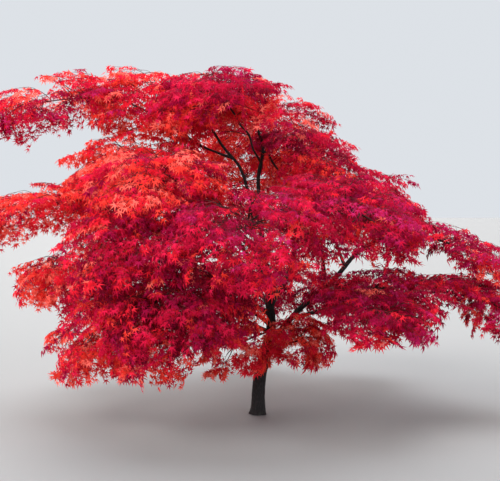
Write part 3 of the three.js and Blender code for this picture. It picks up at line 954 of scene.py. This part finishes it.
def sprayPose(mass, place, turn, share, draw):
    def jitter(amount):
        return amount * (2 * draw() - 1)

    keepUp = poseShape["upright"]
    normal = surfaceNormal(place, mass) * (1 - keepUp) + upward * keepUp
    normal = unit(normal + np.array([jitter(poseShape["tilt"]) for _ in range(3)]))
    ahead = level(place - mass["centre"]) - upward * poseShape["droop"]
    ahead = turned(unit(ahead - normal * dot(ahead, normal)), normal, turn)
    halfWidth = 0.5 * (mass["size"][0] + mass["size"][1])
    length = share * halfWidth * (1 + jitter(poseShape["sizeJitter"]))
    return ahead, normal, length


def fittingPose(mass, place, turn, share, seed):
    # the first pose that keeps the spray in its mass's own space, or none
    for extraTurn, shrink in poseShape["tries"]:
        draw = makeRandom(seed)
        ahead, normal, length = sprayPose(mass, place, turn + extraTurn, share * shrink, draw)
        across = np.cross(normal, ahead)
        rim = np.array(poseShape["rim"]) * length
        reach = outness(place + rim @ np.array([ahead, across, normal]), mass)
        if reach.max() <= poseShape["largestReach"]:
            return ahead, normal, length
    return None


def twigTarget(mass, i, draw):
    own = i < twigShape["ownCount"]
    rise = fraction(spreadShape["first"] + i * spreadShape["riseStep"])
    turn = fraction(spreadShape["firstTurn"] + i * spreadShape["turnStep"] + mass["index"] * goldenTurn)

    def jitter():
        return spreadShape["jitter"] * (draw() - 0.5)

    lowest = spreadShape["lowest"] if own else twigShape["lowest"]
    w = blend(lowest, spreadShape["highest"], rise) + jitter()
    least, most = spreadShape["limits"]
    w = min(most, max(least, w))
    angle = 2 * math.pi * (turn + jitter())
    s = math.sqrt(1 - w * w)
    x, y = math.cos(angle) * s, math.sin(angle) * s
    across = spreadShape["across"]
    if not own:
        across = blend(twigShape["nearest"], twigShape["furthest"], math.sqrt(fraction(i * goldenTurn)))
    offset = np.array([x * across, y * across, w * spreadShape["above"]])
    return mass["centre"] + (offset * mass["size"]) @ mass["axes"], x


stemPaths = []
stemRadii = []
twigCurves = []  # curve and mix of tints
shootCurves = []
wideSprays = []  # place, ahead, normal, length and mix of tints
fineSprays = []


def mixAt(place, mass):
    # the mix of tints on the side of the mass that a place is on, which paints in that side's light and
    # shade
    upperSide = 0.05
    upperMix, lowerMix = mass["mixes"]
    height = (place - mass["centre"]) @ mass["axes"][2] / mass["size"][2]
    return mixNames.index(upperMix if height > upperSide else lowerMix)


def growTwig(mass, root, target, shape, share, turn, seed):
    # a twig that arrives in its spray's own direction, or nothing where no pose fits
    pose = fittingPose(mass, target, turn, share, seed)
    own = share == wideSpray["share"]
    if pose is None:
        return None
    if not own and outness(target, mass) > fineSpray["largestPlace"]:
        return None
    span = float(np.linalg.norm(target - root))
    bend = target - pose[0] * shape["arrive"] * span + upward * shape["arch"] * span
    rows = wideSprays if own else fineSprays
    rows.append((target, *pose, mixAt(target, mass)))
    return bezier([root, bend, target])


def growMass(mass):
    spine = bezier([mass["start"], mass["bend"], mass["end"]])
    t = np.linspace(0, 1, stemShape["rings"])
    stemPaths.append(spine(t))
    stemRadii.append(blend(mass["rootRadius"], stemShape["tipRadius"], t))
    seed = mass["index"] * seedRows["step"]
    endPose = fittingPose(mass, mass["end"], 0, wideSpray["share"], seed + seedRows["stemEnd"])
    if endPose is not None:
        wideSprays.append((mass["end"], *endPose, mixAt(mass["end"], mass)))
    for i in range(mass["twigCount"]):
        own = i < twigShape["ownCount"]
        twigSeed = seed + i if own else seedRows["carriedOn"] + seed + i
        share = wideSpray["share"] if own else fineSpray["share"]
        target, along = twigTarget(mass, i, makeRandom(twigSeed + seedRows["target"]))
        rootPlace = stemShape["middleTwig"] + stemShape["twigSpread"] * along
        root = spine(min(stemShape["lastTwig"], max(stemShape["firstTwig"], rootPlace)))
        curve = growTwig(mass, root, target, twigShape, share, 0, twigSeed)
        if curve is None:
            continue
        twigCurves.append((curve, mixAt(target, mass)))
        shootPlaces = shootShape["places"][:1] if own else shootShape["places"]
        for k, place in enumerate(shootPlaces):
            shootSeed = twigSeed + seedRows["firstShoot"] + seedRows["shootStep"] * k
            growShoot(mass, curve, place, share, i + k, shootSeed)


def growShoot(mass, curve, place, share, number, seed):
    turn = shootShape["turn"] * (1 if number % 2 else -1)
    root = curve(place)
    heading = turned(direction(curve, place), upward, turn)
    target = root + heading * shootShape["length"] * mass["size"][1]
    shoot = growTwig(mass, root, target, shootShape, share, turn * 0.5, seed)
    if shoot is not None:
        shootCurves.append(shoot)


def growLimbShoots(limb):
    span = limbShootShape["last"] - limbShootShape["first"]
    count = round(span * curveLength(limb["curve"]) / limbShootShape["spacing"])
    draw = makeRandom(seedRows["limbShoots"] + limb["index"])
    for i in range(count):
        place = limbShootShape["first"] + span * (i + draw()) / count
        root = limb["curve"](place)
        jitter = limbShootShape["turnJitter"] * (draw() - 0.5)
        turn = (1 if i % 2 else -1) * (limbShootShape["turn"] + jitter)
        heading = turned(level(direction(limb["curve"], place)), upward, turn)
        heading = unit(heading + upward * limbShootShape["lift"] * 2 * draw())
        length = blend(limbShootShape["shortest"], limbShootShape["longest"], draw())
        target = root + heading * length
        bend = root + heading * 0.5 * length + upward * limbShootShape["arch"] * length
        tilt = np.array([draw() - 0.5, draw() - 0.5, 0]) * limbShootShape["tilt"]
        ahead = unit(level(target - bend) - upward * limbShootShape["droop"])
        normal = unit(upward + tilt)
        normal = unit(normal - ahead * dot(normal, ahead))
        mix = mixNames.index(limb["mass"]["mixes"][1])
        size = limbShootShape["smallest"] + limbShootShape["sizeRange"] * draw()
        fineSprays.append((target, ahead, normal, limbShootShape["sprayLength"] * size, mix))
        twigCurves.append((bezier([root, bend, target]), mix))


for mass in masses.values():
    growMass(mass)
for limbName, limb in limbs.items():
    if limbName != "trunk" and limbName not in limbShootShape["bareLimbs"]:
        growLimbShoots(limb)
print(f"{len(stemPaths)} stems, {len(twigCurves)} twigs, {len(shootCurves)} shoots, "
      f"{len(wideSprays)} wide and {len(fineSprays)} fine sprays")


# Leaves

leafShape = {
    "size": 0.043,  # from the stalk to the tip of the middle lobe
    "sizeJitter": 0.26,
    "stalk": 0.36,
    "stalkWidth": 0.022,
    # lobes: turn in degrees and length
    "lobes": [(0, 1.0), (43, 0.92), (92, 0.64)],
    "notch": 0.27,
    "notchDepth": (0.5, 0.28),  # at the least, and for each length of the lobes beside it
    "lobeSag": 0.24,
    "lobeFold": 0.05,
    "pairTurn": 56,
    "pairJitter": 18,
    "twigSize": 0.95,  # of the leaves that grow straight from a twig
    "hang": 0.42,  # how far the blades point down
    "hangJitter": 0.8,
    "faceUp": 0.3,
    "tilt": 0.42,
    "curlJitter": 0.8,
    # how far past the solids' box leaves may reach, and the lowest that they hang
    "boxShare": 0.02,
    "boxMargin": 0.008,
    "lowest": 0.03,
}

branchParts = []  # paths, radii and sides of each batch of stems, twigs and shoots
sprigParts = []  # the same for the thin twigs inside the sprays
leafParts = []  # node, heading, upper side, size and tint of each batch of leaves


def addTubes(parts, paths, radii, sides):
    parts.append((paths, np.broadcast_to(radii, paths.shape[:2]), sides))


def addLeaves(node, heading, normal, size, tint):
    leafParts.append((node, heading, normal, np.full(len(node), size), tint))


def leafPair(node, along, normal, size, tint):
    # two leaves that stand opposite each other on a twig
    for sign in (-1, 1):
        turn = sign * leafShape["pairTurn"] + spotRandom.normal(0, leafShape["pairJitter"], (len(node), 1))
        addLeaves(node, turned(along, normal, turn), normal, size, tint)


def pathsOf(curves, rings):
    t = np.linspace(0, 1, rings)
    return np.stack([curve(t) for curve in curves])


def rowsAt(curve, count, places):
    # a curve of rows of points, sampled at the same places on each row
    return np.stack([curve(np.full(count, t)) for t in places], axis=1)


def tapering(radii, rings):
    return blend(radii[0], radii[1], np.linspace(0, 1, rings))


def growSprays(rows, shape):
    place, ahead, normal = (np.array([row[k] for row in rows]) for k in range(3))
    length = np.array([row[3] for row in rows])[:, None]
    mix = np.array([row[4] for row in rows])
    count = len(rows)
    across = np.cross(normal, ahead)
    ownTint = pickTints(mix)
    sideSize, sideTipSize, ribSize, ribTipSize = shape["leafSizes"]
    sway = spotRandom.normal(0, shape["ribSway"], (count, 1))
    ribEnd = place + (ahead * shape["ribShare"] + across * sway - upward * shape["ribSag"]) * length
    ribAhead, ribUp = shape["ribBend"]
    ribBend = place + (ahead * ribAhead + normal * ribUp) * length
    rib = bezier([place, ribBend, ribEnd])
    addTubes(sprigParts, rowsAt(rib, count, np.linspace(0, 1, shape["ribRings"])),
             tapering(shape["ribRadii"], shape["ribRings"]), shape["tubeSides"])
    for spot, turn, share in shape["sidePairs"]:
        for sign in (-1, 1):
            spotTurn = sign * turn + spotRandom.normal(0, shape["sideJitter"], (count, 1))
            heading = turned(ahead, normal, spotTurn)
            uneven = shape["sideLengthJitter"]
            run = length * share * (1 + spotRandom.uniform(-uneven, uneven, (count, 1)))
            lift = spotRandom.normal(*shape["sideLift"], (count, 1))
            root = rib(np.full(count, spot + shape["sideStagger"] * sign))
            tip = root + (heading + normal * lift - upward * shape["sideSag"]) * run
            sideAhead, sideUp, sideLifted = shape["sideBend"]
            bend = root + (heading * sideAhead + normal * (sideUp + sideLifted * lift)) * run
            side = bezier([root, bend, tip])
            addTubes(sprigParts, rowsAt(side, count, np.linspace(0, 1, shape["sideRings"])),
                     tapering(shape["sideRadii"], shape["sideRings"]), shape["tubeSides"])
            tint = np.where(spotRandom.random(count) < keepTint, ownTint, pickTints(mix))
            along = unit(tip - bend)
            for u in shape["sideLeafPlaces"]:
                leafPair(side(np.full(count, u)), along, normal, sideSize, tint)
            addLeaves(tip, along, normal, sideTipSize, tint)
    along = unit(ribEnd - ribBend)
    for u in shape["ribLeafPlaces"]:
        leafPair(rib(np.full(count, u)), along, normal, ribSize, ownTint)
    addLeaves(ribEnd, along, normal, ribTipSize, ownTint)


def growTwigLeaves():
    # pairs of leaves along the outer part of each twig
    mix = np.array([row[1] for row in twigCurves])
    for u in twigShape["leafPlaces"]:
        node = np.array([curve(u) for curve, _ in twigCurves])
        along = np.array([direction(curve, u) for curve, _ in twigCurves])
        normal = unit(np.cross(along, unit(np.cross(upward, along))))
        leafPair(node, along, normal, leafShape["twigSize"], pickTints(mix))


def leafTemplate():
    # a leaf of five pointed lobes: along, across and up, with its heart at the origin
    oneSide = leafShape["lobes"][1:]
    otherSide = [(-turn, length) for turn, length in reversed(oneSide)]
    lobes = otherSide + leafShape["lobes"][:1] + oneSide
    least, deeper = leafShape["notchDepth"]
    outline = []
    for k, (turn, length) in enumerate(lobes):
        a = math.radians(turn)
        outline.append((length * math.cos(a), length * math.sin(a), -leafShape["lobeSag"] * length ** 2))
        if k + 1 < len(lobes):
            middle = math.radians((turn + lobes[k + 1][0]) / 2)
            notch = leafShape["notch"] * (least + deeper * (length + lobes[k + 1][1]))
            outline.append((notch * math.cos(middle), notch * math.sin(middle), leafShape["lobeFold"]))
    half = leafShape["stalkWidth"] / 2
    stalk = [(-leafShape["stalk"], -half, 0.0), (-leafShape["stalk"], half, 0.0)]
    faces = [(0, k, k + 1) for k in range(1, len(outline))]
    faces.append((0, len(outline) + 2, len(outline) + 1))
    return np.array([(0.0, 0.0, 0.0)] + outline + stalk), np.array(faces)


def leafPoints(template):
    # every leaf's points, and its tint
    node, heading, normal, size, tint = (np.concatenate(column) for column in zip(*leafParts))
    count = len(node)
    size = leafShape["size"] * size * (1 + leafShape["sizeJitter"] * spotRandom.uniform(-1, 1, count))
    size = size[:, None]
    hang = leafShape["hang"] * (1 + leafShape["hangJitter"] * spotRandom.uniform(-1, 1, (count, 1)))
    ahead = unit(heading - upward * hang)
    tilt = spotRandom.normal(0, leafShape["tilt"], (count, 3))
    face = unit(normal + upward * leafShape["faceUp"] + tilt)
    face = unit(face - ahead * dot(face, ahead))
    across = np.cross(face, ahead)
    curl = 1 + leafShape["curlJitter"] * spotRandom.uniform(-1, 1, (count, 1, 1))
    heart = node + ahead * leafShape["stalk"] * size
    points = (ahead[:, None] * template[:, :1] + across[:, None] * template[:, 1:2]
              + face[:, None] * template[:, 2:] * curl)
    return heart[:, None] + points * size[:, None], tint


def buildLeaves():
    template, faces = leafTemplate()
    points, tint = leafPoints(template)
    low, high = (np.array(corner) for corner in cadBounds)
    margin = leafShape["boxShare"] * (high - low) + leafShape["boxMargin"]
    kept = np.all((points > low - margin) & (points < high + margin), axis=(1, 2))
    kept &= points[:, :, 2].min(axis=1) > leafShape["lowest"]
    for k, tintName in enumerate(tintNames):
        chosen = points[kept & (tint == k)]
        index = np.arange(len(chosen))[:, None, None] * len(template) + faces
        mesh = meshFromArrays(f"leaves_{tintName}", chosen.reshape(-1, 3), [index.reshape(-1, 3)])
        addPiece(f"leaves_{tintName}", mesh, leafPaint(f"leaf_{tintName}", *tints[tintName]),
                 foliageNodes)
        print(f"{len(chosen)} {tintName} leaves of {len(chosen) * len(faces)} triangles")
    print(f"{int((~kept).sum())} of {len(points)} leaves left out")


def buildTubes(name, parts, paint):
    points = []
    quads = []
    ends = {}
    total = 0
    for paths, radii, sides in parts:
        somePoints, skin, caps = tubes(paths, np.array(radii), sides)
        points.append(somePoints)
        quads.append(skin + total)
        ends.setdefault(sides, []).append(caps + total)
        total += len(somePoints)
    groups = [np.concatenate(quads)] + [np.concatenate(rows) for rows in ends.values()]
    mesh = meshFromArrays(name, np.concatenate(points), groups)
    addPiece(name, mesh, paint, foliageNodes)
    print(f"{name} of {sum(len(group) * (group.shape[1] - 2) for group in groups)} triangles")


foliageNodes = [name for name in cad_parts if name.startswith("foliage_")]
addTubes(branchParts, np.array(stemPaths), np.array(stemRadii), stemShape["sides"])
for curves, shape in (([row[0] for row in twigCurves], twigShape), (shootCurves, shootShape)):
    radii = tapering((shape["rootRadius"], shape["tipRadius"]), shape["rings"])
    addTubes(branchParts, pathsOf(curves, shape["rings"]), radii, shape["sides"])
growSprays(wideSprays, wideSpray)
growSprays(fineSprays, fineSpray)
growTwigLeaves()
buildLeaves()
buildTubes("twigs", branchParts, twigPaint("youngBark"))
buildTubes("sprigs", sprigParts, twigPaint("redShoots"))
